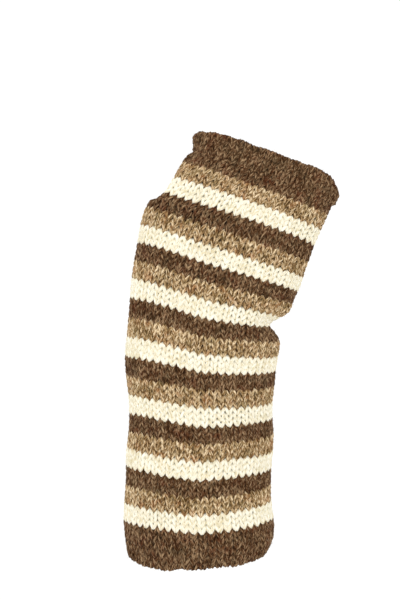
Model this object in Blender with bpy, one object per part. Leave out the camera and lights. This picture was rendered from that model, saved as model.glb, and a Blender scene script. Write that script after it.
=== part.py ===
"""A knitted wool hand warmer: a long fingerless sleeve for one hand, in the shape it has when worn.

It is a tube of stocking stitch with a slit left open for the thumb in its side. Both ends are turned in and sewn
down as doubled hems. The origin is the middle of the wrist. +Z points up to the finger end, +X to the little
finger's side, and -Y out of the side that covers the back of the hand. Sizes are in millimetres.
"""

import math
from functools import lru_cache

import bpy
import numpy as np

MM = 0.001

# The gauge: the tube is this many stitches round and this many rows from fold to fold.
STITCHES = 48
ROWS = 73
ROW_PITCH = 3.62

# The cloth, and the two turned hems, which are two layers of it. A hem's rings stand at these shares of its
# length, and round its fold at these angles.
WALL = 2.9
HEM_WALL = 5.6
ARM_HEM_ROWS = 6
FINGER_HEM_ROWS = 4
SEAM_GAP = 0.3
HEM_EDGE_ROUND = 0.9
HEM_FOLD_ANGLES = (-90, -60, -30, 0, 30, 60, 90)
HEM_SIDE_RINGS = (0.4, 0.7)

# The thumb slit, along the line of stitch 0: its first and last row, and how far each edge is pushed aside.
SLIT_FIRST_ROW = 58
SLIT_LAST_ROW = 67.5
SLIT_HALF_WIDTH = 13.0
SLIT_LOW_WEIGHT = 0.6
SLIT_FULLNESS = 0.8
SLIT_PULL_STITCHES = 8.0

# The folds of the two hems sag at the sides of the hand: by this share of their rows, this sharply.
FINGER_HEM_DROOP_THUMB_SIDE = 0.12
FINGER_HEM_DROOP_FAR_SIDE = 0.36
ARM_HEM_DROOP = 0.08
DROOP_SHARPNESS = 5

# One solid ring of faces every step of rows, and a closer one near the ends of the slit.
RING_STEP_ROWS = 1.5
SLIT_END_STEP_ROWS = 0.5
STRIPE_ROWS = 3

# Cross-sections of the sleeve, from the fold at the arm end up to the fold at the finger end.
# centre_x, centre_y, centre_z: middle of the section. roll: lean to the little finger, in degrees.
# pitch: lean away from the viewer, in degrees. half_width, half_depth: to the middle of the wall.
# square: 2 is an ellipse, and more is squarer.
SECTION_COLUMNS = (
    "row", "centre_x", "centre_y", "centre_z", "roll", "pitch", "half_width", "half_depth", "square",
)
SECTIONS = (
    (0, -0.8, 0.0, -145.5, -2.6, -1.0, 41.2, 30.5, 2.0),
    (3, -0.4, 0.0, -134.8, -2.2, -1.0, 43.2, 31.0, 2.0),
    (6, -0.9, 0.0, -124.0, -1.8, -0.5, 43.2, 31.0, 2.0),
    (9, -1.4, 0.0, -113.4, -1.4, 0.0, 43.0, 31.0, 2.0),
    (15, -1.2, 0.0, -91.4, 0.3, 0.0, 42.5, 31.0, 2.0),
    (21, 0.8, 0.0, -69.6, 0.8, 0.0, 42.3, 31.0, 2.0),
    (25, 0.2, 0.0, -55.6, 2.5, 0.0, 41.8, 31.0, 2.0),
    (31, 0.0, 0.0, -34.4, 4.6, 0.0, 43.4, 29.0, 2.0),
    (36, 1.2, 0.0, -17.0, 7.0, 0.0, 43.8, 28.0, 2.0),
    (42, 3.7, 0.0, 3.0, 11.5, 2.0, 45.2, 26.0, 2.1),
    (48, 7.8, 1.2, 22.4, 15.5, 5.0, 47.0, 24.0, 2.2),
    (54, 13.4, 3.8, 40.6, 18.0, 8.0, 48.8, 22.6, 2.3),
    (60, 20.6, 6.8, 60.0, 19.2, 8.5, 49.0, 22.0, 2.3),
    (66, 31.9, 9.8, 78.0, 20.0, 9.0, 46.1, 20.0, 2.4),
    (70, 39.3, 11.8, 89.2, 20.2, 9.0, 43.5, 18.8, 2.4),
    (73, 42.6, 13.1, 97.7, 20.4, 9.0, 44.6, 18.4, 2.4),
)

# Soft folds pressed into the sleeve. around: degrees from the thumb side, 90 the back of the hand, 180 the
# little finger's side, 270 the palm. depth: outward. rows and spread: how far each reaches, as a bell curve.
FOLD_COLUMNS = ("row", "around", "depth", "rows", "spread")
FOLDS = (
    (42.7, 182, -10.2, 1.8, 30),  # the crease where the wrist bends
    (43.6, 232, -4.2, 2.4, 26),  # the same crease running on round the palm
    (49.0, 176, 1.0, 2.4, 34),  # the cloth pushed out above it
    (37.6, 205, 1.2, 2.2, 40),  # and below it
    (57.0, 8, 1.4, 3.6, 34),  # the base of the thumb
    (33.5, 285, 1.6, 3.0, 36),
    (27.0, 300, -1.8, 2.4, 34),
    (50.5, 290, -1.6, 3.0, 30),
    (20.0, 250, -1.4, 2.6, 38),
    (12.0, 320, -1.2, 2.2, 36),
)

WOOL_COLOURS = {
    "dark_brown_wool": (0.110, 0.070, 0.042),
    "tan_marl_wool": (0.320, 0.225, 0.140),
    "cream_wool": (0.830, 0.780, 0.610),
}
WOOL_ROUGHNESS = 0.95
STRIPE_ORDER = ("cream_wool", "tan_marl_wool", "dark_brown_wool")
HEM_YARN = "dark_brown_wool"

ARC_SAMPLES = 720
DIFFERENCE = 0.02


def table_value(rows, values, row):
    """A smooth curve through a table's column, read at one row, with the slope at each entry from its neighbours."""
    rows = np.asarray(rows, float)
    values = np.asarray(values, float)
    slopes = np.gradient(values, rows)
    span = int(np.clip(np.searchsorted(rows, row) - 1, 0, len(rows) - 2))
    length = rows[span + 1] - rows[span]
    t = (row - rows[span]) / length
    return (
        (2 * t**3 - 3 * t**2 + 1) * values[span]
        + (t**3 - 2 * t**2 + t) * length * slopes[span]
        + (3 * t**2 - 2 * t**3) * values[span + 1]
        + (t**3 - t**2) * length * slopes[span + 1]
    )


def section_at(row):
    """The cross-section at a row, as a dictionary of the table's columns."""
    columns = list(zip(*SECTIONS))
    return {
        name: table_value(columns[0], columns[k], row)
        for k, name in enumerate(SECTION_COLUMNS)
    }


def bell(distance, reach):
    return math.exp(-0.5 * (distance / reach) ** 2)


def fold_depth(row, around):
    """How far the soft folds move the cloth outward, at a row and an angle from the thumb side."""
    total = 0.0
    for fold in FOLDS:
        f = dict(zip(FOLD_COLUMNS, fold))
        turn = (around - f["around"] + 180) % 360 - 180
        total += f["depth"] * bell(row - f["row"], f["rows"]) * bell(turn, f["spread"])
    return total


def slit_half_width(row):
    """How far each edge of the thumb slit stands from its line: a teardrop, widest in its lower third."""
    share = (row - SLIT_FIRST_ROW) / (SLIT_LAST_ROW - SLIT_FIRST_ROW)
    if not 0 < share < 1:
        return 0.0
    return SLIT_HALF_WIDTH * math.sin(math.pi * share**SLIT_LOW_WEIGHT) ** SLIT_FULLNESS


def droop(row, angle):
    """How far a hem sags towards the sleeve at its sides, in mm, at an angle from the thumb side."""
    finger_rows = max(0.0, row - (ROWS - FINGER_HEM_ROWS - STRIPE_ROWS))
    arm_rows = max(0.0, ARM_HEM_ROWS - row)
    thumb_side = math.cos(angle) > 0
    share = FINGER_HEM_DROOP_THUMB_SIDE if thumb_side else FINGER_HEM_DROOP_FAR_SIDE
    rows = arm_rows * ARM_HEM_DROOP - finger_rows * share
    return rows * ROW_PITCH * abs(math.cos(angle)) ** DROOP_SHARPNESS


class Ring:
    """The middle of the wall at one row, as a closed curve measured by its length round."""

    def __init__(self, row):
        self.row = row
        self.section = section_at(row)
        self.angles = np.linspace(0, 2 * math.pi, ARC_SAMPLES + 1)
        outline = np.array([self.flat(a) for a in self.angles])
        steps = np.linalg.norm(np.diff(outline, axis=0), axis=1)
        self.lengths = np.concatenate([[0], np.cumsum(steps)])

    def flat(self, angle):
        """The outline in the section's own plane: across, and away from the viewer. Angle 0 is the thumb side."""
        power = 2 / self.section["square"]
        c, s = -math.cos(angle), -math.sin(angle)
        across = self.section["half_width"] * math.copysign(abs(c) ** power, c)
        back = self.section["half_depth"] * math.copysign(abs(s) ** power, s)
        return across, back

    def angle_of(self, stitch):
        """The angle at which a stitch sits, once the slit has pushed the cloth aside."""
        round_it = self.lengths[-1]
        opening = slit_half_width(self.row)
        pushed = math.exp(-stitch / SLIT_PULL_STITCHES) - math.exp(-(STITCHES - stitch) / SLIT_PULL_STITCHES)
        at = round_it * stitch / STITCHES + opening * pushed
        return float(np.interp(at, self.lengths, self.angles))

    def point(self, stitch):
        s = self.section
        angle = self.angle_of(stitch)
        across, back = self.flat(angle)
        outward = np.array([across / s["half_width"] ** 2, back / s["half_depth"] ** 2])
        across, back = np.array([across, back]) + outward / np.linalg.norm(outward) * fold_depth(
            self.row, math.degrees(angle)
        )
        roll, pitch = math.radians(s["roll"]), math.radians(s["pitch"])
        width_axis = np.array([math.cos(roll), 0, -math.sin(roll)])
        up_axis = np.array([math.sin(roll), 0, math.cos(roll)])
        depth_axis = np.array([0, 1, 0]) * math.cos(pitch) - up_axis * math.sin(pitch)
        up = droop(self.row, angle)
        centre = np.array([s["centre_x"], s["centre_y"], s["centre_z"]])
        return centre + across * width_axis + back * depth_axis + up * up_axis


@lru_cache(maxsize=None)
def ring_at(row):
    return Ring(row)


def cloth_frame(stitch, row):
    """A point in the middle of the cloth, and the direction out of it."""
    middle = ring_at(row)
    along = ring_at(row + DIFFERENCE).point(stitch) - ring_at(row - DIFFERENCE).point(stitch)
    turn = middle.point(stitch + DIFFERENCE) - middle.point(stitch - DIFFERENCE)
    outward = np.cross(turn, along)
    return middle.point(stitch), outward / np.linalg.norm(outward)


def wool_material(name):
    material = bpy.data.materials.get(name) or bpy.data.materials.new(name)
    material.use_nodes = True
    shader = material.node_tree.nodes["Principled BSDF"]
    shader.inputs["Base Color"].default_value = (*WOOL_COLOURS[name], 1)
    shader.inputs["Roughness"].default_value = WOOL_ROUGHNESS
    shader.inputs["Metallic"].default_value = 0
    return material


def yarn_at(row):
    """The yarn that a row of the striped sleeve is knitted in."""
    striped = row - ARM_HEM_ROWS
    if row >= ROWS - FINGER_HEM_ROWS - STRIPE_ROWS:
        return HEM_YARN
    return STRIPE_ORDER[int(striped // STRIPE_ROWS) % len(STRIPE_ORDER)]


def add_object(name, points, faces, yarns, face_yarns):
    mesh = bpy.data.meshes.new(name)
    mesh.from_pydata([tuple(p * MM) for p in points], [], faces)
    for yarn in yarns:
        mesh.materials.append(wool_material(yarn))
    mesh.polygons.foreach_set("material_index", [yarns.index(y) for y in face_yarns])
    mesh.shade_smooth()
    obj = bpy.data.objects.new(name, mesh)
    bpy.context.scene.collection.objects.link(obj)
    return obj


def sleeve_rows():
    """The rows at which the sleeve's rings stand, closer together at the two ends of the slit."""
    first, last = ARM_HEM_ROWS, ROWS - FINGER_HEM_ROWS
    steps = round((last - first) / RING_STEP_ROWS)
    rows = {first + k * RING_STEP_ROWS for k in range(steps + 1)}
    rows |= {SLIT_FIRST_ROW, SLIT_FIRST_ROW + SLIT_END_STEP_ROWS}
    rows |= {SLIT_LAST_ROW - SLIT_END_STEP_ROWS, SLIT_LAST_ROW}
    return sorted(rows)


def sleeve():
    """The striped sleeve: one sheet of rings, open along the thumb slit, given the cloth's thickness."""
    points, faces, face_yarns, rings = [], [], [], []
    rows = sleeve_rows()
    for row in rows:
        ring = ring_at(row)
        is_open = slit_half_width(row) > 0
        count = STITCHES + 1 if is_open else STITCHES
        start = len(points)
        points += [ring.point(stitch) for stitch in range(count)]
        rings.append([start + (k if is_open else k % STITCHES) for k in range(STITCHES + 1)])
    for low, high, row in zip(rings, rings[1:], rows):
        for k in range(STITCHES):
            faces.append((low[k], low[k + 1], high[k + 1], high[k]))
            face_yarns.append(yarn_at(row))
    obj = add_object("striped_sleeve", points, faces, list(WOOL_COLOURS), face_yarns)
    thick = obj.modifiers.new("cloth thickness", "SOLIDIFY")
    thick.thickness = WALL * MM
    thick.offset = 0
    thick.use_rim = True
    return obj


def hem_profile(rows):
    """The outline across a turned hem, as (distance from its fold, distance outward): round at the fold."""
    half = HEM_WALL / 2
    length = rows * ROW_PITCH - SEAM_GAP
    bend = [math.radians(a) for a in HEM_FOLD_ANGLES]
    fold = [(half - half * math.cos(a), half * math.sin(a)) for a in bend]
    sides = [length * share for share in HEM_SIDE_RINGS]
    edge = length - HEM_EDGE_ROUND
    outer = [(s, half) for s in sides] + [(edge, half), (length, half - HEM_EDGE_ROUND)]
    inner = [(s, -out) for s, out in reversed(outer)]
    return fold + outer + inner


def hem(name, fold_row, into_sleeve, rows):
    """A doubled hem: its outline carried round the sleeve's end. into_sleeve is 1 or -1, up or down the rows."""
    profile = hem_profile(rows)
    points, faces = [], []
    for from_fold, outward in profile:
        row = fold_row + into_sleeve * from_fold / ROW_PITCH
        for stitch in range(STITCHES):
            place, out = cloth_frame(stitch, row)
            points.append(place + out * outward)
    count = len(profile)
    for i in range(count):
        for k in range(STITCHES):
            a, b = i * STITCHES, (i + 1) % count * STITCHES
            face = (a + k, a + (k + 1) % STITCHES, b + (k + 1) % STITCHES, b + k)
            faces.append(face if into_sleeve > 0 else face[::-1])
    return add_object(name, points, faces, [HEM_YARN], [HEM_YARN] * len(faces))


def main():
    for obj in list(bpy.data.objects):
        bpy.data.objects.remove(obj)
    sleeve()
    hem("arm_hem", 0, 1, ARM_HEM_ROWS)
    hem("finger_hem", ROWS, -1, FINGER_HEM_ROWS)


main()
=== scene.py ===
# A long fingerless hand warmer, hand-knitted in three wools, in the shape it has when worn.
# Loops of yarn are laid over a thin inner cloth, coloured in painted shade, row by row, as the needles make
# them.
import math

import bpy
import numpy as np
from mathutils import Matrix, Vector


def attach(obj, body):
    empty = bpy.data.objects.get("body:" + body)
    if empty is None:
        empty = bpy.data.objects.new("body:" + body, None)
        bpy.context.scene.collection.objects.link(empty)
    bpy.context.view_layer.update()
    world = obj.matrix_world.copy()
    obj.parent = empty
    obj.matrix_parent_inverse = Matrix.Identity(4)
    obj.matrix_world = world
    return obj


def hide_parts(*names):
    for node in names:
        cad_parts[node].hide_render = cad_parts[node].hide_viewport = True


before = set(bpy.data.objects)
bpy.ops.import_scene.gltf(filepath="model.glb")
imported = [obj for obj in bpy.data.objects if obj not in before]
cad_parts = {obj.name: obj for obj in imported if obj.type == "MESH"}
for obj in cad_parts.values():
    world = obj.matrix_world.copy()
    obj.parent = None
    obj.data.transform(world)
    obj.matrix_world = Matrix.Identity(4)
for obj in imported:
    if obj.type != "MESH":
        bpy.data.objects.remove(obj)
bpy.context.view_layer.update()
mm = 0.001
fullTurn = 2 * math.pi
print("stage: frame loaded")


def hexToLinear(code):  # an sRGB hex colour as linear red, green, blue and alpha
    channels = [int(code[i:i + 2], 16) / 255 for i in (1, 3, 5)]
    return [c / 12.92 if c <= 0.04045 else ((c + 0.055) / 1.055) ** 2.4 for c in channels] + [1]


def addNode(tree, kind, links=None, **settings):  # a link is given as a socket, a node or a plain value
    node = tree.nodes.new(kind)
    for name, value in settings.items():
        setattr(node, name, value)
    for key, value in (links or {}).items():
        if isinstance(value, bpy.types.Node):
            value = value.outputs[0]
        if isinstance(value, bpy.types.NodeSocket):
            tree.links.new(value, node.inputs[key])
        else:
            node.inputs[key].default_value = value
    return node


# What the knitter chose. Lengths in millimetres, heights along the tube in rows.
knit = dict(
    stitchesRound=48,
    rows=73,
    rowPitch=3.62,
    fingerBandRows=7,  # the plain brown rows at the finger end, hem and all
    stripeRows=3,
)
# The two turned hems. gap: half the distance between the layers. inset: the yarn's own reach at the fold.
hemColumns = ("rows", "gap", "inset", "shift", "ridge", "fadeRows")
hems = dict(
    arm=dict(zip(hemColumns, (6, 1.4, 0.6, -0.8, 0.1, 1.5))),
    finger=dict(zip(hemColumns, (4, 1.4, 1.9, 0.0, 0.5, 0.5))),
)
ridgeSpan = (0.4, 0.9)  # where along a hem its ridge rises, as shares of its rows
rim = dict(waver=0.8, nearRows=1.6, seed=5)  # each rib of stitches ends a little higher or lower
slit = dict(
    firstRow=58,
    lastRow=67.5,
    halfWidth=13.0,
    lowWeight=0.6,
    fullness=0.8,
    boundOff=2.0,  # stitches bound off on each side, so that its low edge is blunt
    stitchPitch=4.8,
    pullStitches=8.0,
    curlDepth=2.2,  # the edge rolls in, as stocking stitch does
    curlStitches=1.0,
    curlOpening=6.0,  # it rolls fully once the slit is this far open
)
# Rows rise towards the sides, and less so at the very edge
rowLift = dict(
    thumbSide=4.9, farSide=1.9, edgeDrop=0.66, edgePower=4, fromRow=1, fullRow=6, fadeRow=40, endRow=54)
droop = dict(thumbSide=3.0, farSide=9.1, power=1.6, armHem=0.08, sharpness=5)
# Low waves over the cloth, for hand-knitted cloth is never quite flat
ripple = dict(depth=0.35, rowsPerRadian=2.3, waves=9, rates=(0.6, 1.6), turnsRound=(3, 16), seed=11)

# Cross-sections from the fold at the arm end to the fold at the finger end, as the solid has them.
sectionColumns = ("row", "x", "y", "z", "roll", "pitch", "halfWidth", "halfDepth", "square")
sections = (
    (0, -0.8, 0.0, -145.5, -2.6, -1.0, 41.2, 30.5, 2.0),
    (3, -0.4, 0.0, -134.8, -2.2, -1.0, 43.2, 31.0, 2.0),
    (6, -0.9, 0.0, -124.0, -1.8, -0.5, 43.2, 31.0, 2.0),
    (9, -1.4, 0.0, -113.4, -1.4, 0.0, 43.0, 31.0, 2.0),
    (15, -1.2, 0.0, -91.4, 0.3, 0.0, 42.5, 31.0, 2.0),
    (21, 0.8, 0.0, -69.6, 0.8, 0.0, 42.3, 31.0, 2.0),
    (25, 0.2, 0.0, -55.6, 2.5, 0.0, 41.8, 31.0, 2.0),
    (31, 0.0, 0.0, -34.4, 4.6, 0.0, 43.4, 29.0, 2.0),
    (36, 1.2, 0.0, -17.0, 7.0, 0.0, 43.8, 28.0, 2.0),
    (42, 3.7, 0.0, 3.0, 11.5, 2.0, 45.2, 26.0, 2.1),
    (48, 7.8, 1.2, 22.4, 15.5, 5.0, 47.0, 24.0, 2.2),
    (54, 13.4, 3.8, 40.6, 18.0, 8.0, 48.8, 22.6, 2.3),
    (60, 20.6, 6.8, 60.0, 19.2, 8.5, 49.0, 22.0, 2.3),
    (66, 31.9, 9.8, 78.0, 20.0, 9.0, 46.1, 20.0, 2.4),
    (70, 39.3, 11.8, 89.2, 20.2, 9.0, 43.5, 18.8, 2.4),
    (73, 42.6, 13.1, 97.7, 20.4, 9.0, 44.6, 18.4, 2.4),
)
# Soft folds and pulls. around: degrees from the thumb hole. depth: outward. rows and spread: their reach.
foldColumns = ("row", "around", "depth", "rows", "spread")
folds = (
    (42.6, 182, -10.2, 1.7, 30),  # the deep crease on the far side, where the tube bends
    (45.6, 178, 1.6, 1.2, 26),  # and the cloth pushed out above it
    (68.7, 0, -3.0, 1.3, 28),  # the tuck under the finger hem, above the thumb hole
    (66.0, 0, -0.8, 1.2, 26),
    (71.5, 0, 0.8, 0.9, 24),
    (43.6, 232, -4.2, 2.4, 26),
    (49.0, 176, 1.0, 2.4, 34),
    (37.6, 205, 1.2, 2.2, 40),
    (57.0, 8, 1.4, 3.6, 34),  # the swell below the thumb hole
    (58.6, 0, -1.8, 1.3, 20),  # the low corner of the thumb hole
    (33.5, 285, 1.6, 3.0, 36),
    (27.0, 300, -1.8, 2.4, 34),
    (50.5, 290, -1.6, 3.0, 30),
    (20.0, 250, -1.4, 2.6, 38),
    (12.0, 320, -1.2, 2.2, 36),
)
pullColumns = ("row", "around", "rise", "rows", "spread")
pulls = (  # where wear has dragged the rows along the tube
    (58.7, 0, 2.0, 0.92, 14),  # round the low end of the thumb hole
    (60.2, 128, 1.7, 2.0, 34),  # on the front, level with the thumb hole
    (72.5, 145, 1.4, 1.5, 26),  # the rim of the finger end, on its far half
)
arcSamples = 720
slopeStep = 0.05


def sectionAt(row):
    columns = dict(zip(sectionColumns, np.array(sections, float).T))
    rows = columns.pop("row")
    span = int(np.clip(np.searchsorted(rows, row) - 1, 0, len(rows) - 2))
    length = rows[span + 1] - rows[span]
    t = (row - rows[span]) / length
    weights = (
        2 * t**3 - 3 * t**2 + 1, (t**3 - 2 * t**2 + t) * length,
        3 * t**2 - 2 * t**3, (t**3 - t**2) * length,
    )
    section = {}
    for name, values in columns.items():
        slopes = np.gradient(values, rows)
        terms = (values[span], slopes[span], values[span + 1], slopes[span + 1])
        section[name] = sum(weight * term for weight, term in zip(weights, terms))
    return section


def slitOpening(row):  # half the width of the open slit
    share = (row - slit["firstRow"]) / (slit["lastRow"] - slit["firstRow"])
    if not 0 < share < 1:
        return 0.0
    return slit["halfWidth"] * math.sin(math.pi * share ** slit["lowWeight"]) ** slit["fullness"]


def flatOutline(section, angle):  # across, and away from the viewer. Angle 0 faces the thumb hole
    power = 2 / section["square"]
    across, back = -np.cos(angle), -np.sin(angle)
    return np.array([
        section["halfWidth"] * np.sign(across) * np.abs(across) ** power,
        section["halfDepth"] * np.sign(back) * np.abs(back) ** power,
    ])


def slitCut(row):  # how many stitches are missing on each side of the slit's line
    return min(slit["boundOff"], slitOpening(row) / slit["stitchPitch"])


def smoothStep(low, high, value):
    t = np.clip((value - low) / (high - low), 0, 1)
    return t * t * (3 - 2 * t)


def nearness(row, angle, spot):  # 1 at the middle of a fold or pull, and 0 far from it
    turn = (np.degrees(angle) - spot["around"] + 180) % 360 - 180
    return np.exp(-0.5 * (((row - spot["row"]) / spot["rows"]) ** 2 + (turn / spot["spread"]) ** 2))


def ringPoints(row, stitches):  # the middle of the cloth at one row, in millimetres
    section = sectionAt(row)
    sampleAngles = np.linspace(0, fullTurn, arcSamples + 1)
    steps = np.linalg.norm(np.diff(flatOutline(section, sampleAngles)), axis=0)
    lengths = np.concatenate([[0], np.cumsum(steps)])
    count, cut = knit["stitchesRound"], slitCut(row)
    near, far = [
        np.exp(-np.maximum(fromLine - cut, 0) / slit["pullStitches"])
        for fromLine in (stitches, count - stitches)
    ]
    push = slitOpening(row) - cut * lengths[-1] / count
    angle = np.interp(lengths[-1] * stitches / count + push * (near - far), lengths, sampleAngles)
    outline = flatOutline(section, angle)
    normal = outline / np.array([[section["halfWidth"] ** 2], [section["halfDepth"] ** 2]])
    normal /= np.linalg.norm(normal, axis=0)
    for fold in folds:
        f = dict(zip(foldColumns, fold))
        outline = outline + normal * f["depth"] * nearness(row, angle, f)
    sideward = np.abs(np.cos(angle))
    thumbward = np.cos(angle) > 0
    inBand = max(0.0, row / knit["fingerBandRows"] - knit["rows"] / knit["fingerBandRows"] + 1)
    armRows = max(0.0, hems["arm"]["rows"] - row)
    drop = np.where(thumbward, droop["thumbSide"], droop["farSide"]) * inBand ** droop["power"]
    rise = (armRows * droop["armHem"] * knit["rowPitch"] - drop) * sideward ** droop["sharpness"]
    lifted = smoothStep(rowLift["fromRow"], rowLift["fullRow"], row)
    lifted *= 1 - smoothStep(rowLift["fadeRow"], rowLift["endRow"], row)
    lifted *= sideward * (1 - rowLift["edgeDrop"] * sideward ** rowLift["edgePower"])
    rise += lifted * np.where(thumbward, rowLift["thumbSide"], rowLift["farSide"])
    for pull in pulls:
        p = dict(zip(pullColumns, pull))
        rise += p["rise"] * nearness(row, angle, p)
    roll, pitch = math.radians(section["roll"]), math.radians(section["pitch"])
    widthAxis = np.array([math.cos(roll), 0, -math.sin(roll)])
    upAxis = np.array([math.sin(roll), 0, math.cos(roll)])
    depthAxis = np.array([0, 1, 0]) * math.cos(pitch) - upAxis * math.sin(pitch)
    centre = np.array([section["x"], section["y"], section["z"]])
    across, back, up = outline[0][:, None], outline[1][:, None], rise[:, None]
    return centre + across * widthAxis + back * depthAxis + up * upAxis


# Where the cloth lies in a hem, so many rows along it from the fold:
# its row on the tube, and how far out of the tube it is.
def alongHem(fromFold, hem):
    rows, gap, shift, pitch = hem["rows"], hem["gap"], hem["shift"], knit["rowPitch"]
    inset = hem["inset"] / pitch
    bend = math.pi * gap / 2 / pitch
    run = abs(fromFold)
    if run < bend:
        turn = fromFold / bend * math.pi / 2
        return inset + (gap - gap * math.cos(turn)) / pitch, shift + gap * math.sin(turn)
    start = inset + gap / pitch
    row = start + (run - bend) * (rows - start) / (rows - bend)
    if fromFold < 0:
        return row, shift - gap
    ridgeFrom, ridgeTo = (rows * share for share in ridgeSpan)
    pushedOut = shift + gap + hem["ridge"] * smoothStep(ridgeFrom, ridgeTo, run)
    out = pushedOut * (1 - smoothStep(rows, rows + hem["fadeRows"], run))
    return (row if run < rows else run), out


rippleDraw = np.random.default_rng(ripple["seed"])
rippleWaves = []
for _ in range(ripple["waves"]):
    rate, turns = rippleDraw.uniform(*ripple["rates"]), rippleDraw.integers(*ripple["turnsRound"])
    rippleWaves.append((rate, turns, rippleDraw.uniform(0, fullTurn, 2)))


def rippleOut(v, stitches):  # the same on both sides of the slit's line
    total = np.zeros_like(stitches)
    for rowRate, turns, starts in rippleWaves:
        total += np.sin(v / ripple["rowsPerRadian"] * rowRate + starts[0]) * np.sin(
            stitches / knit["stitchesRound"] * fullTurn * turns + starts[1]
        )
    return total * ripple["depth"] / math.sqrt(len(rippleWaves))


rimDraw = np.random.default_rng(rim["seed"])
rimHeights = rimDraw.uniform(-1, 1, (2, knit["stitchesRound"]))


def rimWaver(fromFold, end, stitches):  # end 0 is the arm end, end 1 the finger end
    places = np.arange(knit["stitchesRound"]) + 0.5
    height = np.interp(stitches, places, rimHeights[end], period=knit["stitchesRound"])
    return height * rim["waver"] * math.exp(-((fromFold / rim["nearRows"]) ** 2))


# The middle of the cloth, v rows along it. The inner layers of the hems are below 0 and above the last row.
def clothRing(v, stitches):
    last, end = knit["rows"], int(v > knit["rows"] / 2)
    fromFold = last - v if end else v
    row, out = alongHem(fromFold, hems["finger" if end else "arm"])
    if end:
        row = last - row
    along = ringPoints(row + slopeStep, stitches) - ringPoints(row - slopeStep, stitches)
    around = ringPoints(row, stitches + slopeStep) - ringPoints(row, stitches - slopeStep)
    outward = np.cross(around, along)
    outward /= np.linalg.norm(outward, axis=1)[:, None]
    upward = along / np.linalg.norm(along, axis=1)[:, None]
    fromEdge = np.minimum(stitches, knit["stitchesRound"] - stitches) - slitCut(row)
    openShare = min(1.0, slitOpening(row) / slit["curlOpening"])
    curl = slit["curlDepth"] * openShare * np.clip(1 - fromEdge / slit["curlStitches"], 0, 1) ** 2
    moved = outward * (out - curl + rippleOut(v, stitches))[:, None]
    return ringPoints(row, stitches) + moved + upward * rimWaver(fromFold, end, stitches)[:, None]


spareRows = 1.0  # how far the ground that the yarn is laid on runs past the last rows
firstV = -hems["arm"]["rows"] - spareRows
lastV = knit["rows"] + hems["finger"]["rows"] + spareRows


# Grids of points and of directions out of the cloth's right side, which turn over with it round each fold.
def clothGrid(vs, stitches, cut=False):
    count = knit["stitchesRound"]
    places = [slitCut(v) + (1 - 2 * slitCut(v) / count) * stitches if cut else stitches for v in vs]
    points = np.array([clothRing(v, place) for v, place in zip(vs, places)])
    normals = np.cross(np.gradient(points, axis=1), np.gradient(points, axis=0))
    for k, v in enumerate(vs):
        if slitOpening(v) == 0:
            normals[k, 0] = normals[k, -1] = normals[k, 0] + normals[k, -1]
    return points * mm, normals / np.linalg.norm(normals, axis=2)[:, :, None]


# Quads over the grid, with the row in knitRow. Where the slit is closed its two sides are welded.
def gridMesh(name, vs, stitches, points, weld):
    columns = len(stitches)
    vertices, knitRow = [], []
    index = np.zeros((len(vs), columns), int)
    for k, v in enumerate(vs):
        closed = weld and slitOpening(v) == 0
        for i in range(columns - 1 if closed else columns):
            index[k, i] = len(vertices)
            vertices.append(points[k, i])
            knitRow.append(v)
        if closed:
            index[k, -1] = index[k, 0]
    faces = [
        [int(index[k, i]), int(index[k, i + 1]), int(index[k + 1, i + 1]), int(index[k + 1, i])]
        for k in range(len(vs) - 1) for i in range(columns - 1)
    ]
    mesh = bpy.data.meshes.new(name)
    mesh.from_pydata([tuple(p) for p in vertices], [], faces)
    mesh.attributes.new("knitRow", "FLOAT", "POINT").data.foreach_set("value", knitRow)
    mesh.shade_smooth()
    return mesh


# The ground that the yarn is laid on, removed once the loops stand. Its UVs are shares of the way
# round the cloth and along it.
groundSteps = dict(perStitch=3, perRow=4)


def makeGround():
    stitches = np.linspace(0, knit["stitchesRound"], knit["stitchesRound"] * groundSteps["perStitch"] + 1)
    vs = np.linspace(firstV, lastV, int(lastV - firstV) * groundSteps["perRow"] + 1)
    points, normals = clothGrid(vs, stitches)
    mesh = gridMesh("knitGround", vs, stitches, points, weld=False)
    mesh.attributes.new("outward", "FLOAT_VECTOR", "POINT").data.foreach_set("vector", normals.reshape(-1))
    columns = len(stitches)
    missing = np.repeat([slitCut(v) for v in vs], columns)
    mesh.attributes.new("missing", "FLOAT", "POINT").data.foreach_set("value", missing)
    corners = np.zeros(len(mesh.loops), int)
    mesh.loops.foreach_get("vertex_index", corners)
    shares = np.stack([(corners % columns) / (columns - 1), (corners // columns) / (len(vs) - 1)], axis=1)
    mesh.uv_layers.new(name="cloth").data.foreach_set("uv", shares.reshape(-1))
    ground = bpy.data.objects.new("knitGround", mesh)
    bpy.context.scene.collection.objects.link(ground)
    return ground


# One loop of yarn, in stitches and rows, and the loose hairs on it.
loop = dict(
    pointsPerStitch=14,
    sides=5,
    yarnRadius=1.1 * mm,
    legDepth=0.8 * mm,  # how far its legs stand in front of its head and feet
    legTilt=0.32 * mm,  # the foot of each V lies over the row below
    lean=0.27,
    height=0.99,
    plumpness=0.22,  # legs are fuller in the middle
    unevenness=0.26, unevenRate=0.9, unevenDetail=1.0,  # from stitch to stitch
    wander=0.5, wanderRate=0.13, wanderDetail=0.0,  # over several stitches
    seed=7.0,
    rimMargin=0.0005,  # how far from the thumb hole's rim the yarn ends, as a share of the way round
    wholeFrom=0.6,  # a stitch is left out once this share of it is bound off
)
# Hairs are drawn thicker than real ones, which wouldn't show. bow: the shape of one, in its own lengths
hair = dict(
    perSquareMetre=45000.0, length=2.4 * mm, radius=0.07 * mm, lengths=(0.5, 1.3), tilt=0.7, seed=3,
    bow=((0, 0, -0.1), (0.1, 0, 0.45), (0.8, 0, 0.6)),
)
uvMargin = 0.001  # places are sampled just inside the ground's edges


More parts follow.
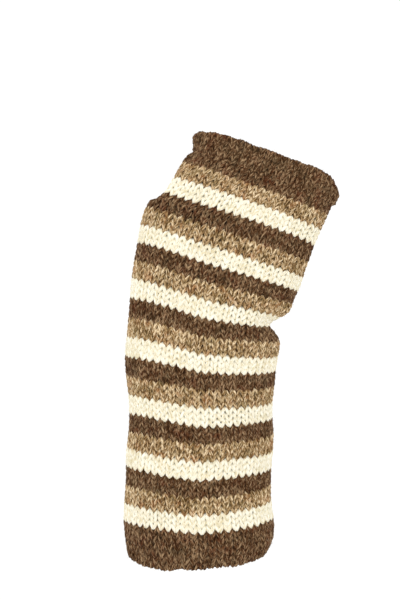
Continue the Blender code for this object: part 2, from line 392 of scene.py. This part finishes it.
# Rows of yarn loops over the mesh that it is given, with shares of the way as UVs and an outward vector.
def buildKnitTree():
    tree = bpy.data.node_groups.new("knitRows", "GeometryNodeTree")
    face = tree.interface
    face.new_socket("Geometry", in_out="INPUT", socket_type="NodeSocketGeometry")
    for name, kind in (
        ("Stitches Round", "Int"), ("Points per Stitch", "Int"), ("Sides", "Int"),
        ("First Row", "Float"), ("Rows in Stripe", "Int"), ("Stripe Repeat", "Float"), ("Row Count", "Int"),
        ("Yarn Radius", "Float"),
        ("Leg Depth", "Float"), ("Leg Tilt", "Float"), ("Lean", "Float"), ("Height", "Float"),
        ("Plumpness", "Float"), ("Unevenness", "Float"), ("Wander", "Float"), ("Seed", "Float"),
        ("Slit First Row", "Float"), ("Slit Last Row", "Float"), ("First V", "Float"), ("Last V", "Float"),
        ("Hair Density", "Float"), ("Hair Length", "Float"), ("Hair Radius", "Float"), ("Hair Seed", "Int"),
        ("Yarn", "Material"),
    ):
        face.new_socket(name, in_out="INPUT", socket_type="NodeSocket" + kind)
    face.new_socket("Geometry", in_out="OUTPUT", socket_type="NodeSocketGeometry")
    given = addNode(tree, "NodeGroupInput").outputs

    # One circle of points for each row
    perRow = addNode(
        tree, "ShaderNodeMath", {0: given["Stitches Round"], 1: given["Points per Stitch"]},
        operation="MULTIPLY")
    ring = addNode(
        tree, "GeometryNodeCurvePrimitiveCircle", {"Resolution": perRow, "Radius": 1.0}, mode="RADIUS")
    starts = addNode(tree, "GeometryNodePoints", {"Count": given["Row Count"]})
    rings = addNode(tree, "GeometryNodeInstanceOnPoints", {"Points": starts, "Instance": ring})
    curves = addNode(tree, "GeometryNodeRealizeInstances", {0: rings})

    # The row of each circle along the cloth
    number = addNode(tree, "GeometryNodeInputIndex")
    stripe = addNode(tree, "ShaderNodeMath", {0: number, 1: given["Rows in Stripe"]}, operation="DIVIDE")
    stripe = addNode(tree, "ShaderNodeMath", {0: stripe}, operation="FLOOR")
    inStripe = addNode(tree, "ShaderNodeMath", {0: number, 1: given["Rows in Stripe"]}, operation="MODULO")
    fromFirst = addNode(
        tree, "ShaderNodeMath", {0: stripe, 1: given["Stripe Repeat"], 2: inStripe},
        operation="MULTIPLY_ADD")
    rowNumber = addNode(tree, "ShaderNodeMath", {0: given["First Row"], 1: fromFirst}, operation="ADD")
    curves = addNode(
        tree, "GeometryNodeStoreNamedAttribute",
        {"Geometry": curves, "Name": "courseRow", "Value": rowNumber},
        data_type="FLOAT", domain="CURVE")
    row = addNode(tree, "GeometryNodeInputNamedAttribute", {"Name": "courseRow"}, data_type="FLOAT")

    # The way of the yarn through one loop: legs in front, head and feet behind
    parameter = addNode(tree, "GeometryNodeSplineParameter").outputs["Index"]
    t = addNode(tree, "ShaderNodeMath", {0: parameter, 1: given["Points per Stitch"]}, operation="DIVIDE")
    turn = addNode(tree, "ShaderNodeMath", {0: t, 1: fullTurn}, operation="MULTIPLY")
    twice = addNode(tree, "ShaderNodeMath", {0: turn, 1: 2.0}, operation="MULTIPLY")
    sinTwice = addNode(tree, "ShaderNodeMath", {0: twice}, operation="SINE")
    cosTwice = addNode(tree, "ShaderNodeMath", {0: twice}, operation="COSINE")
    cosTurn = addNode(tree, "ShaderNodeMath", {0: turn}, operation="COSINE")
    across = addNode(
        tree, "ShaderNodeMath", {0: sinTwice, 1: given["Lean"], 2: t}, operation="MULTIPLY_ADD")
    rise = addNode(tree, "ShaderNodeMath", {0: cosTurn, 1: given["Height"]}, operation="MULTIPLY")
    front = addNode(tree, "ShaderNodeMath", {0: cosTwice, 1: given["Leg Depth"]}, operation="MULTIPLY")
    lapped = addNode(tree, "ShaderNodeMath", {0: cosTurn, 1: given["Leg Tilt"]}, operation="MULTIPLY")
    out = addNode(tree, "ShaderNodeMath", {0: lapped, 1: front}, operation="SUBTRACT")
    narrow = addNode(tree, "ShaderNodeMath", {0: cosTwice, 1: given["Plumpness"]}, operation="MULTIPLY")
    thick = addNode(tree, "ShaderNodeMath", {0: 1.0, 1: narrow}, operation="SUBTRACT")

    # No two stitches of handwork are alike, and its columns wander a little
    place = addNode(tree, "ShaderNodeCombineXYZ", {0: t, 1: row, 2: given["Seed"]})
    close, wide = [
        addNode(
            tree, "ShaderNodeTexNoise", {"Vector": place, "Scale": rate, "Detail": detail},
            noise_dimensions="3D")
        for rate, detail in (
            (loop["unevenRate"], loop["unevenDetail"]), (loop["wanderRate"], loop["wanderDetail"]))
    ]
    shift = addNode(
        tree, "ShaderNodeVectorMath", {0: close.outputs["Color"], 1: (0.5, 0.5, 0.5)}, operation="SUBTRACT")
    shift = addNode(
        tree, "ShaderNodeVectorMath", {0: shift, "Scale": given["Unevenness"]}, operation="SCALE")
    drift = addNode(
        tree, "ShaderNodeVectorMath", {0: wide.outputs["Color"], 1: (0.5, 0.5, 0.5)}, operation="SUBTRACT")
    drift = addNode(tree, "ShaderNodeVectorMath", {0: drift, "Scale": given["Wander"]}, operation="SCALE")
    moved = addNode(tree, "ShaderNodeVectorMath", {0: shift, 1: drift}, operation="ADD")
    uneven = addNode(tree, "ShaderNodeSeparateXYZ", {0: moved})
    across = addNode(tree, "ShaderNodeMath", {0: across, 1: uneven.outputs[0]}, operation="ADD")
    up = addNode(tree, "ShaderNodeMath", {0: uneven.outputs[1], 1: rise}, operation="SUBTRACT")
    thick = addNode(tree, "ShaderNodeMath", {0: thick, 1: uneven.outputs[2]}, operation="ADD")

    # Onto the cloth. A row that the slit opens ends at its two edges, and the others close round
    slitStart = addNode(tree, "ShaderNodeMath", {0: given["Slit First Row"], 1: 0.5}, operation="SUBTRACT")
    pastStart = addNode(tree, "ShaderNodeMath", {0: row, 1: slitStart}, operation="GREATER_THAN")
    beforeEnd = addNode(tree, "ShaderNodeMath", {0: row, 1: given["Slit Last Row"]}, operation="LESS_THAN")
    isOpen = addNode(tree, "ShaderNodeMath", {0: pastStart, 1: beforeEnd}, operation="MULTIPLY")
    middle = addNode(tree, "ShaderNodeMath", {0: row, 1: 0.5}, operation="ADD")
    rowAbove = addNode(tree, "ShaderNodeMath", {0: row, 1: 1.0}, operation="ADD")
    ownRow = addNode(tree, "ShaderNodeMath", {0: middle, 1: up}, operation="ADD")
    clothUv = addNode(tree, "GeometryNodeInputNamedAttribute", {"Name": "cloth"}, data_type="FLOAT_VECTOR")
    missing = addNode(tree, "GeometryNodeInputNamedAttribute", {"Name": "missing"}, data_type="FLOAT")
    absent, vs = [], []
    for place in (rowAbove, ownRow):
        v = addNode(
            tree, "ShaderNodeMapRange",
            {"Value": place, "From Min": given["First V"], "From Max": given["Last V"],
             "To Min": uvMargin, "To Max": 1 - uvMargin})
        spot = addNode(tree, "ShaderNodeCombineXYZ", {0: 0.5, 1: v.outputs[0]})
        absent.append(addNode(
            tree, "GeometryNodeSampleUVSurface",
            {"Mesh": given["Geometry"], "Value": missing, "UV Map": clothUv, "Sample UV": spot},
            data_type="FLOAT"))
        vs.append(v)
    share = addNode(tree, "ShaderNodeMath", {0: across, 1: given["Stitches Round"]}, operation="DIVIDE")
    wrapped = addNode(tree, "ShaderNodeMath", {0: share}, operation="FRACT")
    lowest = addNode(tree, "ShaderNodeMath", {0: absent[1], 1: given["Stitches Round"]}, operation="DIVIDE")
    lowest = addNode(tree, "ShaderNodeMath", {0: lowest, 1: loop["rimMargin"]}, operation="ADD")
    highest = addNode(tree, "ShaderNodeMath", {0: 1.0, 1: lowest}, operation="SUBTRACT")
    held = addNode(tree, "ShaderNodeClamp", {"Value": share, "Min": lowest, "Max": highest})
    u = addNode(
        tree, "GeometryNodeSwitch", {"Switch": isOpen, "False": wrapped, "True": held}, input_type="FLOAT")
    sample = addNode(tree, "ShaderNodeCombineXYZ", {0: u, 1: vs[1]})
    position = addNode(tree, "GeometryNodeInputPosition")
    outward = addNode(
        tree, "GeometryNodeInputNamedAttribute", {"Name": "outward"}, data_type="FLOAT_VECTOR")
    onCloth, outOfCloth = [
        addNode(
            tree, "GeometryNodeSampleUVSurface",
            {"Mesh": given["Geometry"], "Value": value, "UV Map": clothUv, "Sample UV": sample},
            data_type="FLOAT_VECTOR")
        for value in (position, outward)
    ]
    along = addNode(
        tree, "ShaderNodeMath", {0: row, 1: given["Stitches Round"], 2: t}, operation="MULTIPLY_ADD")
    for name, value, kind in (
        ("yarnAlong", along, "FLOAT"), ("yarnThick", thick, "FLOAT"), ("yarnOut", out, "FLOAT"),
        ("yarnSide", outOfCloth, "FLOAT_VECTOR"),
    ):
        curves = addNode(
            tree, "GeometryNodeStoreNamedAttribute", {"Geometry": curves, "Name": name, "Value": value},
            data_type=kind, domain="POINT")
    lifted = addNode(tree, "ShaderNodeVectorMath", {0: outOfCloth, "Scale": out}, operation="SCALE")
    target = addNode(tree, "ShaderNodeVectorMath", {0: onCloth, 1: lifted}, operation="ADD")
    curves = addNode(tree, "GeometryNodeSetPosition", {"Geometry": curves, "Position": target})
    curves = addNode(tree, "GeometryNodeSetSplineCyclic", {0: curves, "Selection": isOpen, "Cyclic": False})

    # The whole stitches that were bound off at the thumb hole are left out
    wholeAbsent = addNode(tree, "ShaderNodeMath", {0: absent[0], 1: 1 - loop["wholeFrom"]}, operation="ADD")
    wholeAbsent = addNode(tree, "ShaderNodeMath", {0: wholeAbsent}, operation="FLOOR")
    fromEnd = addNode(tree, "ShaderNodeMath", {0: given["Stitches Round"], 1: t}, operation="SUBTRACT")
    fromSlit = addNode(tree, "ShaderNodeMath", {0: t, 1: fromEnd}, operation="MINIMUM")
    gone = addNode(tree, "ShaderNodeMath", {0: fromSlit, 1: wholeAbsent}, operation="LESS_THAN")
    gone = addNode(tree, "ShaderNodeMath", {0: gone, 1: isOpen}, operation="MULTIPLY")
    curves = addNode(tree, "GeometryNodeDeleteGeometry", {0: curves, "Selection": gone}, domain="POINT")

    # The yarn's own thickness
    profile = addNode(
        tree, "GeometryNodeCurvePrimitiveCircle", {"Resolution": given["Sides"], "Radius": 1.0},
        mode="RADIUS")
    profile = addNode(
        tree, "GeometryNodeStoreNamedAttribute",
        {"Geometry": profile, "Name": "yarnRound", "Value": position},
        data_type="FLOAT_VECTOR", domain="POINT")
    thickness = addNode(tree, "GeometryNodeInputNamedAttribute", {"Name": "yarnThick"}, data_type="FLOAT")
    radius = addNode(tree, "ShaderNodeMath", {0: thickness, 1: given["Yarn Radius"]}, operation="MULTIPLY")
    tube = addNode(
        tree, "GeometryNodeCurveToMesh",
        {"Curve": curves, "Profile Curve": profile, "Scale": radius, "Fill Caps": True})

    # How far each point stands out of the cloth, which tells the wool how deep between the loops it is, for
    # its painted shade
    side = addNode(tree, "GeometryNodeInputNamedAttribute", {"Name": "yarnSide"}, data_type="FLOAT_VECTOR")
    facing = addNode(
        tree, "ShaderNodeVectorMath", {0: addNode(tree, "GeometryNodeInputNormal"), 1: side},
        operation="DOT_PRODUCT").outputs["Value"]
    legOut = addNode(tree, "GeometryNodeInputNamedAttribute", {"Name": "yarnOut"}, data_type="FLOAT")
    height = addNode(
        tree, "ShaderNodeMath", {0: facing, 1: given["Yarn Radius"], 2: legOut}, operation="MULTIPLY_ADD")
    tube = addNode(
        tree, "GeometryNodeStoreNamedAttribute", {"Geometry": tube, "Name": "yarnHeight", "Value": height},
        data_type="FLOAT", domain="POINT")

    # Loose hairs, each a short bent spike that grows out of the front of a loop
    tall = addNode(tree, "GeometryNodeInputNamedAttribute", {"Name": "yarnHeight"}, data_type="FLOAT")
    inFront = addNode(tree, "ShaderNodeMath", {0: tall, 1: 0.0}, operation="GREATER_THAN")
    roots = addNode(
        tree, "GeometryNodeDistributePointsOnFaces",
        {"Mesh": tube, "Selection": inFront, "Density": given["Hair Density"], "Seed": given["Hair Seed"]},
        distribute_method="RANDOM")
    bow = addNode(
        tree, "GeometryNodeCurveQuadraticBezier",
        {"Resolution": 2, **dict(zip(("Start", "Middle", "End"), hair["bow"]))})
    bow = addNode(tree, "GeometryNodeCurveToPoints", {"Curve": bow}, mode="EVALUATED")
    bow = addNode(tree, "GeometryNodePointsToCurves", {0: bow})
    tip = addNode(tree, "GeometryNodeSplineParameter").outputs["Factor"]
    taper = addNode(
        tree, "ShaderNodeMapRange",
        {"Value": tip, "From Max": 1.0, "To Min": given["Hair Radius"], "To Max": 0.0})
    relative = addNode(tree, "ShaderNodeMath", {0: taper, 1: given["Hair Length"]}, operation="DIVIDE")
    threeSided = addNode(
        tree, "GeometryNodeCurvePrimitiveCircle", {"Resolution": 3, "Radius": 1.0}, mode="RADIUS")
    spike = addNode(
        tree, "GeometryNodeCurveToMesh", {"Curve": bow, "Profile Curve": threeSided, "Scale": relative})
    tilt = hair["tilt"]
    spun = addNode(
        tree, "FunctionNodeRandomValue",
        {0: (-tilt, -tilt, 0.0), 1: (tilt, tilt, fullTurn), "Seed": given["Hair Seed"]},
        data_type="FLOAT_VECTOR")
    spin = addNode(tree, "FunctionNodeEulerToRotation", {0: spun})
    turned = addNode(
        tree, "FunctionNodeRotateRotation", {0: roots.outputs["Rotation"], 1: spin}, rotation_space="LOCAL")
    shortest, longest = hair["lengths"]
    someLength = addNode(
        tree, "FunctionNodeRandomValue", {2: shortest, 3: longest, "Seed": given["Hair Seed"]},
        data_type="FLOAT")
    length = addNode(
        tree, "ShaderNodeMath", {0: someLength.outputs[1], 1: given["Hair Length"]}, operation="MULTIPLY")
    hairs = addNode(
        tree, "GeometryNodeInstanceOnPoints",
        {"Points": roots, "Instance": spike, "Rotation": turned, "Scale": length})
    joined = addNode(tree, "GeometryNodeJoinGeometry")
    for part in (hairs, tube):
        tree.links.new(part.outputs[0], joined.inputs[0])
    smooth = addNode(tree, "GeometryNodeSetShadeSmooth", {0: joined})
    real = addNode(tree, "GeometryNodeRealizeInstances", {0: smooth})
    dressed = addNode(tree, "GeometryNodeSetMaterial", {"Geometry": real, "Material": given["Yarn"]})
    addNode(tree, "NodeGroupOutput", {0: dressed})
    return tree


# The three wools, worsted spun. clouds: how far shades drift. tint: how much other fleece is in it.
# shade and clear: how dark the painted shade is deep between the loops, and how far out of there it is clear
# again. The deep colour is the wool in painted shade, for the inner cloth.
wool = dict(
    cream=dict(
        dark="#ddcfa8", base="#f2ebd5", light="#fefaec", gapShade="#3a2c1a", warm="#f3e0b8", cool="#e9e6cb",
        clouds=0.15, tint=0.2, shade=0.08, clear=1.5 * mm, fullness=1.07, reach=0.95),
    tan=dict(
        dark="#3a2406", base="#a38256", light="#f3ddb8", gapShade="#2a1b0f", warm="#a8683e", cool="#8f8058",
        clouds=0.14, tint=0.3, shade=0.3, clear=1.75 * mm, fullness=0.99, reach=1.0),
    brown=dict(
        dark="#2a1402", base="#5a3d25", light="#a58968", gapShade="#150d07", warm="#6e3824", cool="#44402c",
        clouds=0.12, tint=0.26, shade=0.4, clear=1.75 * mm, fullness=0.99, reach=1.0),
)
fleck = dict(
    perStitch=8.0,  # along the yarn, which is about 16 mm to a stitch
    across=1.5,  # round the yarn: a fleck is 0.8 mm wide, where a real fibre is 0.03 mm and wouldn't show
    detail=3.0,
    roughness=0.75,
    low=0.37, high=0.63,
)
cloud = dict(
    size=9.0 * mm, detail=1.0, tintSize=6.0 * mm, tintDetail=3.0,
    tintSpans=dict(warm=(0.54, 0.7), cool=(0.46, 0.3)))
# Painted shade for the light lost between the loops: most in mid-cloth, and it clears faster on the bumps of
# the inside
paintedCreviceShade = dict(deepest=-0.15 * mm, reach=0.2 * mm, insideRate=2.5)
ply = dict(count=3.0, turnsPerStitch=5.0, relief=0.4)
surface = dict(
    roughness=0.92, specular=0.05, sheen=0.03, sheenRoughness=0.5, bumpStrength=0.6, bumpDepth=0.35 * mm)


# Worsted wool, spun and plied: matt, soft at the edges, and coloured fibre by fibre along the yarn, with
# painted shade deep between the loops.
def worstedWool(name, look):
    material = bpy.data.materials.new(name + "WorstedWool")
    material.use_nodes = True
    tree = material.node_tree
    tree.nodes.clear()
    along = addNode(tree, "ShaderNodeAttribute", attribute_name="yarnAlong").outputs["Fac"]
    around = addNode(tree, "ShaderNodeAttribute", attribute_name="yarnRound").outputs["Vector"]
    height = addNode(tree, "ShaderNodeAttribute", attribute_name="yarnHeight").outputs["Fac"]
    here = addNode(tree, "ShaderNodeTexCoord").outputs["Object"]

    # Flecks lie along the yarn
    aroundParts = addNode(tree, "ShaderNodeSeparateXYZ", {0: around})
    yarnPlace = addNode(
        tree, "ShaderNodeCombineXYZ", {0: along, 1: aroundParts.outputs[0], 2: aroundParts.outputs[1]})
    rates = (fleck["perStitch"], fleck["across"], fleck["across"])
    fleckPlace = addNode(tree, "ShaderNodeVectorMath", {0: yarnPlace, 1: rates}, operation="MULTIPLY")
    flecks = addNode(
        tree, "ShaderNodeTexNoise",
        {"Vector": fleckPlace, "Scale": 1.0, "Detail": fleck["detail"], "Roughness": fleck["roughness"]},
        noise_dimensions="3D").outputs["Fac"]
    clouds = addNode(
        tree, "ShaderNodeTexNoise",
        {"Vector": here, "Scale": 1 / cloud["size"], "Detail": cloud["detail"]},
        noise_dimensions="3D").outputs["Fac"]
    fromMiddle = addNode(tree, "ShaderNodeMath", {0: clouds, 1: 0.5}, operation="SUBTRACT")
    tone = addNode(
        tree, "ShaderNodeMath", {0: fromMiddle, 1: look["clouds"], 2: flecks}, operation="MULTIPLY_ADD")
    ramp = addNode(tree, "ShaderNodeValToRGB", {"Fac": tone})
    stops = ramp.color_ramp.elements
    stops[0].position, stops[0].color = fleck["low"], hexToLinear(look["dark"])
    stops[1].position, stops[1].color = fleck["high"], hexToLinear(look["light"])
    stops.new(0.5).color = hexToLinear(look["base"])

    # Fleeces of other shades carded in: reddish here, greyish green there
    tints = addNode(
        tree, "ShaderNodeTexNoise",
        {"Vector": here, "Scale": 1 / cloud["tintSize"], "Detail": cloud["tintDetail"]},
        noise_dimensions="3D").outputs["Fac"]
    colour = ramp.outputs["Color"]
    for key, (edge, far) in cloud["tintSpans"].items():
        share = addNode(
            tree, "ShaderNodeMapRange",
            {"Value": tints, "From Min": edge, "From Max": far, "To Max": look["tint"]})
        mixed = addNode(
            tree, "ShaderNodeMix", {"Factor": share, 6: colour, 7: hexToLinear(look[key])},
            data_type="RGBA")
        colour = mixed.outputs[2]

    # Painted shade: deep between the loops the colour is darkened, and it is clear again on the inside
    outwards = addNode(tree, "ShaderNodeMath", {0: height, 1: paintedCreviceShade["deepest"]}, operation="SUBTRACT")
    inwards = addNode(tree, "ShaderNodeMath", {0: outwards, 1: -paintedCreviceShade["insideRate"]}, operation="MULTIPLY")
    fromDeepest = addNode(tree, "ShaderNodeMath", {0: outwards, 1: inwards}, operation="MAXIMUM")
    depth = addNode(
        tree, "ShaderNodeMapRange",
        {"Value": fromDeepest, "From Min": paintedCreviceShade["reach"], "From Max": look["clear"],
         "To Min": look["shade"]},
        interpolation_type="SMOOTHSTEP")
    shaded = addNode(
        tree, "ShaderNodeMix", {"Factor": 1.0, 6: colour, 7: depth.outputs[0]}, data_type="RGBA",
        blend_type="MULTIPLY")

    # Plies laid round each other raise the surface, and so do the flecks
    angle = addNode(
        tree, "ShaderNodeMath", {0: aroundParts.outputs[1], 1: aroundParts.outputs[0]}, operation="ARCTAN2")
    laid = addNode(
        tree, "ShaderNodeMath", {0: along, 1: ply["turnsPerStitch"] * fullTurn}, operation="MULTIPLY")
    lay = addNode(tree, "ShaderNodeMath", {0: angle, 1: ply["count"], 2: laid}, operation="MULTIPLY_ADD")
    plies = addNode(tree, "ShaderNodeMath", {0: lay}, operation="SINE")
    relief = addNode(
        tree, "ShaderNodeMath", {0: plies, 1: ply["relief"], 2: flecks}, operation="MULTIPLY_ADD")
    bump = addNode(
        tree, "ShaderNodeBump",
        {"Height": relief, "Strength": surface["bumpStrength"], "Distance": surface["bumpDepth"]})
    shader = addNode(tree, "ShaderNodeBsdfPrincipled", {
        "Base Color": shaded.outputs[2], "Roughness": surface["roughness"], "Normal": bump,
        "Specular IOR Level": surface["specular"], "Sheen Weight": surface["sheen"],
        "Sheen Roughness": surface["sheenRoughness"]})
    addNode(tree, "ShaderNodeOutputMaterial", {"Surface": shader})
    return material


# Drawn far coarser than real fibres of 0.03 mm, which wouldn't show
fibre = dict(size=0.8 * mm, detail=2.0)


# The same wools in painted shade, as seen deep between the loops where little light comes, in the stripe of
# each row.
def paintedShadeWool():
    material = bpy.data.materials.new("paintedShadeWool")
    material.use_nodes = True
    tree = material.node_tree
    tree.nodes.clear()
    row = addNode(tree, "ShaderNodeAttribute", attribute_name="knitRow").outputs["Fac"]
    period = float(knit["stripeRows"] * len(wool))
    fromHem = addNode(tree, "ShaderNodeMath", {0: row, 1: float(hems["arm"]["rows"])}, operation="SUBTRACT")
    inPeriod = addNode(tree, "ShaderNodeMath", {0: fromHem, 1: period}, operation="FLOORED_MODULO")
    share = addNode(tree, "ShaderNodeMath", {0: inPeriod, 1: period}, operation="DIVIDE")
    ramp = addNode(tree, "ShaderNodeValToRGB", {"Fac": share})
    ramp.color_ramp.interpolation = "CONSTANT"
    # Each wool's darkest colour here stands for that wool in painted shade
    dim = {name: hexToLinear(look["gapShade"]) for name, look in wool.items()}
    stops = ramp.color_ramp.elements
    stops[0].position, stops[0].color = 0.0, dim["cream"]
    stops[1].position, stops[1].color = 1 / len(wool), dim["tan"]
    stops.new(2 / len(wool)).color = dim["brown"]
    bandRow = float(knit["rows"] - knit["fingerBandRows"])
    inHem = addNode(tree, "ShaderNodeMath", {0: fromHem, 1: 0.0}, operation="LESS_THAN")
    inBand = addNode(tree, "ShaderNodeMath", {0: row, 1: bandRow}, operation="GREATER_THAN")
    plain = addNode(tree, "ShaderNodeMath", {0: inHem, 1: inBand}, operation="MAXIMUM")
    striped = addNode(
        tree, "ShaderNodeMix", {"Factor": plain, 6: ramp, 7: dim["brown"]}, data_type="RGBA").outputs[2]
    here = addNode(tree, "ShaderNodeTexCoord").outputs["Object"]
    fibres = addNode(
        tree, "ShaderNodeTexNoise",
        {"Vector": here, "Scale": 1 / fibre["size"], "Detail": fibre["detail"]}).outputs["Fac"]
    bump = addNode(
        tree, "ShaderNodeBump",
        {"Height": fibres, "Strength": surface["bumpStrength"], "Distance": surface["bumpDepth"]})
    shader = addNode(tree, "ShaderNodeBsdfPrincipled", {
        "Base Color": striped, "Roughness": surface["roughness"], "Specular IOR Level": surface["specular"],
        "Normal": bump})
    addNode(tree, "ShaderNodeOutputMaterial", {"Surface": shader})
    return material


woolMaterials = {name: worstedWool(name, look) for name, look in wool.items()}
innerClothShade = paintedShadeWool()
print("stage: materials made")

# Each run of rows in one wool: its first row, the rows together, how often they come back, its rows in all.
armRows, fingerRows, inStripe = hems["arm"]["rows"], hems["finger"]["rows"], knit["stripeRows"]
fingerHemStart = knit["rows"] - fingerRows
stripeRepeat = inStripe * len(wool)
rowsInEachWool = (fingerHemStart - armRows) // len(wool)
yarnRuns = {
    name + "Stripes": dict(
        wool=name, first=armRows + k * inStripe, together=inStripe, repeat=stripeRepeat,
        rows=rowsInEachWool)
    for k, name in enumerate(wool)
}
for name, first, rows in (
    ("armHemLoops", -armRows, 2 * armRows), ("fingerHemLoops", fingerHemStart, 2 * fingerRows),
):
    yarnRuns[name] = dict(wool="brown", first=first, together=rows, repeat=rows, rows=rows)


def knitRun(name, run, tree, ground):
    look = wool[run["wool"]]
    worker = bpy.data.objects.new(name + "Worker", ground.data)
    bpy.context.scene.collection.objects.link(worker)
    modifier = worker.modifiers.new("knitRows", "NODES")
    modifier.node_group = tree
    values = {
        "Stitches Round": knit["stitchesRound"], "Points per Stitch": loop["pointsPerStitch"],
        "Sides": loop["sides"], "First Row": float(run["first"]), "Rows in Stripe": run["together"],
        "Stripe Repeat": float(run["repeat"]), "Row Count": run["rows"],
        "Yarn Radius": loop["yarnRadius"] * look["fullness"],
        "Leg Depth": loop["legDepth"], "Leg Tilt": loop["legTilt"], "Lean": loop["lean"],
        "Height": loop["height"] * look["reach"], "Plumpness": loop["plumpness"],
        "Unevenness": loop["unevenness"], "Wander": loop["wander"], "Seed": loop["seed"],
        "Slit First Row": float(slit["firstRow"]), "Slit Last Row": float(slit["lastRow"]),
        "First V": firstV, "Last V": lastV,
        "Hair Density": hair["perSquareMetre"], "Hair Length": hair["length"],
        "Hair Radius": hair["radius"], "Hair Seed": hair["seed"], "Yarn": woolMaterials[run["wool"]],
    }
    for item in tree.interface.items_tree:
        if item.in_out == "INPUT" and item.name in values:
            modifier[item.identifier] = values[item.name]
    bpy.context.view_layer.update()
    mesh = bpy.data.meshes.new_from_object(worker.evaluated_get(bpy.context.evaluated_depsgraph_get()))
    bpy.data.objects.remove(worker)
    mesh.name = name
    piece = bpy.data.objects.new(name, mesh)
    bpy.context.scene.collection.objects.link(piece)
    return piece


ground = makeGround()
knitTree = buildKnitTree()
loops = {name: knitRun(name, run, knitTree, ground) for name, run in yarnRuns.items()}
bpy.data.objects.remove(ground)
for name, piece in loops.items():
    triangles = sum(len(face.vertices) - 2 for face in piece.data.polygons)
    print("stage: knitted", name, triangles, "triangles")

# The thin cloth that the loops close over, coloured in painted shade, one piece for each solid
innerCloth = dict(
    sleeveCloth=dict(
        node="striped_sleeve", first=armRows, last=fingerHemStart, held="stretched", wool="cream",
        runs=("creamStripes", "tanStripes", "brownStripes")),
    armHemCloth=dict(
        node="arm_hem", first=-armRows, last=armRows, held="folded", wool="brown", runs=("armHemLoops",)),
    fingerHemCloth=dict(
        node="finger_hem", first=fingerHemStart, last=knit["rows"] + fingerRows, held="folded",
        wool="brown", runs=("fingerHemLoops",)),
)
clothThickness = 1.0 * mm
clothRowStep = 0.5
for name, part in innerCloth.items():
    stitches = np.linspace(0, knit["stitchesRound"], knit["stitchesRound"] + 1)
    steps = int((part["last"] - part["first"]) / clothRowStep)
    vs = np.linspace(part["first"], part["last"], steps + 1)
    points, _ = clothGrid(vs, stitches, cut=True)
    mesh = gridMesh(name, vs, stitches, points, weld=True)
    mesh.materials.append(innerClothShade)
    cloth = bpy.data.objects.new(name, mesh)
    bpy.context.scene.collection.objects.link(cloth)
    thicken = cloth.modifiers.new("clothThickness", "SOLIDIFY")
    thicken.thickness, thicken.offset = clothThickness, 0
    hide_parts(part["node"])
    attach(cloth, "root")
    for run in part["runs"]:
        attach(loops[run], "root")
print("stage: cloth made")

# Soft studio: a white room, a pale floor far below, big lights in front
studio = dict(
    cameraDistance=1.0, elevation=8.0, frameHeight=0.36, targetZ=0.0114,
    keyPlace=(-0.8, -1.2, 0.9), keyPower=5.5, fillPlace=(0.9, -1.1, 0.4), fillPower=2.2, lightSize=1.0,
    roomColour="#ffffff", roomStrength=1.06, floorColour="#fefefd", floorZ=-1.3, floorReach=6.0,
)


def makeFloor():
    reach, z = studio["floorReach"], studio["floorZ"]
    mesh = bpy.data.meshes.new("paleFloor")
    corners = [(-reach, -reach, z), (reach, -reach, z), (reach, reach, z), (-reach, reach, z)]
    mesh.from_pydata(corners, [], [(0, 1, 2, 3)])
    material = bpy.data.materials.new("mattPaper")  # matt background paper, evenly pale
    material.use_nodes = True
    shader = material.node_tree.nodes["Principled BSDF"]
    shader.inputs["Base Color"].default_value = hexToLinear(studio["floorColour"])
    shader.inputs["Roughness"].default_value = 1.0
    mesh.materials.append(material)
    floor = bpy.data.objects.new("paleFloor", mesh)
    bpy.context.scene.collection.objects.link(floor)


def addSoftLight(name, place, power):  # aimed at the middle of the piece
    light = bpy.data.lights.new(name, "AREA")
    light.shape, light.size, light.energy = "SQUARE", studio["lightSize"], power
    holder = bpy.data.objects.new(name, light)
    holder.location = place
    holder.rotation_euler = (-Vector(place)).to_track_quat("-Z", "Y").to_euler()
    bpy.context.scene.collection.objects.link(holder)


makeFloor()
addSoftLight("keyLight", studio["keyPlace"], studio["keyPower"])
addSoftLight("fillLight", studio["fillPlace"], studio["fillPower"])
world = bpy.data.worlds.new("whiteRoom")
world.use_nodes = True
world.node_tree.nodes["Background"].inputs["Color"].default_value = hexToLinear(studio["roomColour"])
world.node_tree.nodes["Background"].inputs["Strength"].default_value = studio["roomStrength"]
bpy.context.scene.world = world
bpy.context.scene.view_settings.view_transform = "Standard"  # whites stay white, as in a catalogue picture

camera = bpy.data.cameras.new("camera")
camera.lens = camera.sensor_width * studio["cameraDistance"] / studio["frameHeight"]
rig = bpy.data.objects.new("camera", camera)
tilt = math.radians(studio["elevation"])
target = Vector((0, 0, studio["targetZ"]))
rig.location = target + studio["cameraDistance"] * Vector((0, -math.cos(tilt), math.sin(tilt)))
rig.rotation_euler = (target - rig.location).to_track_quat("-Z", "Y").to_euler()
bpy.context.scene.collection.objects.link(rig)
bpy.context.scene.camera = rig
print("stage: studio set")
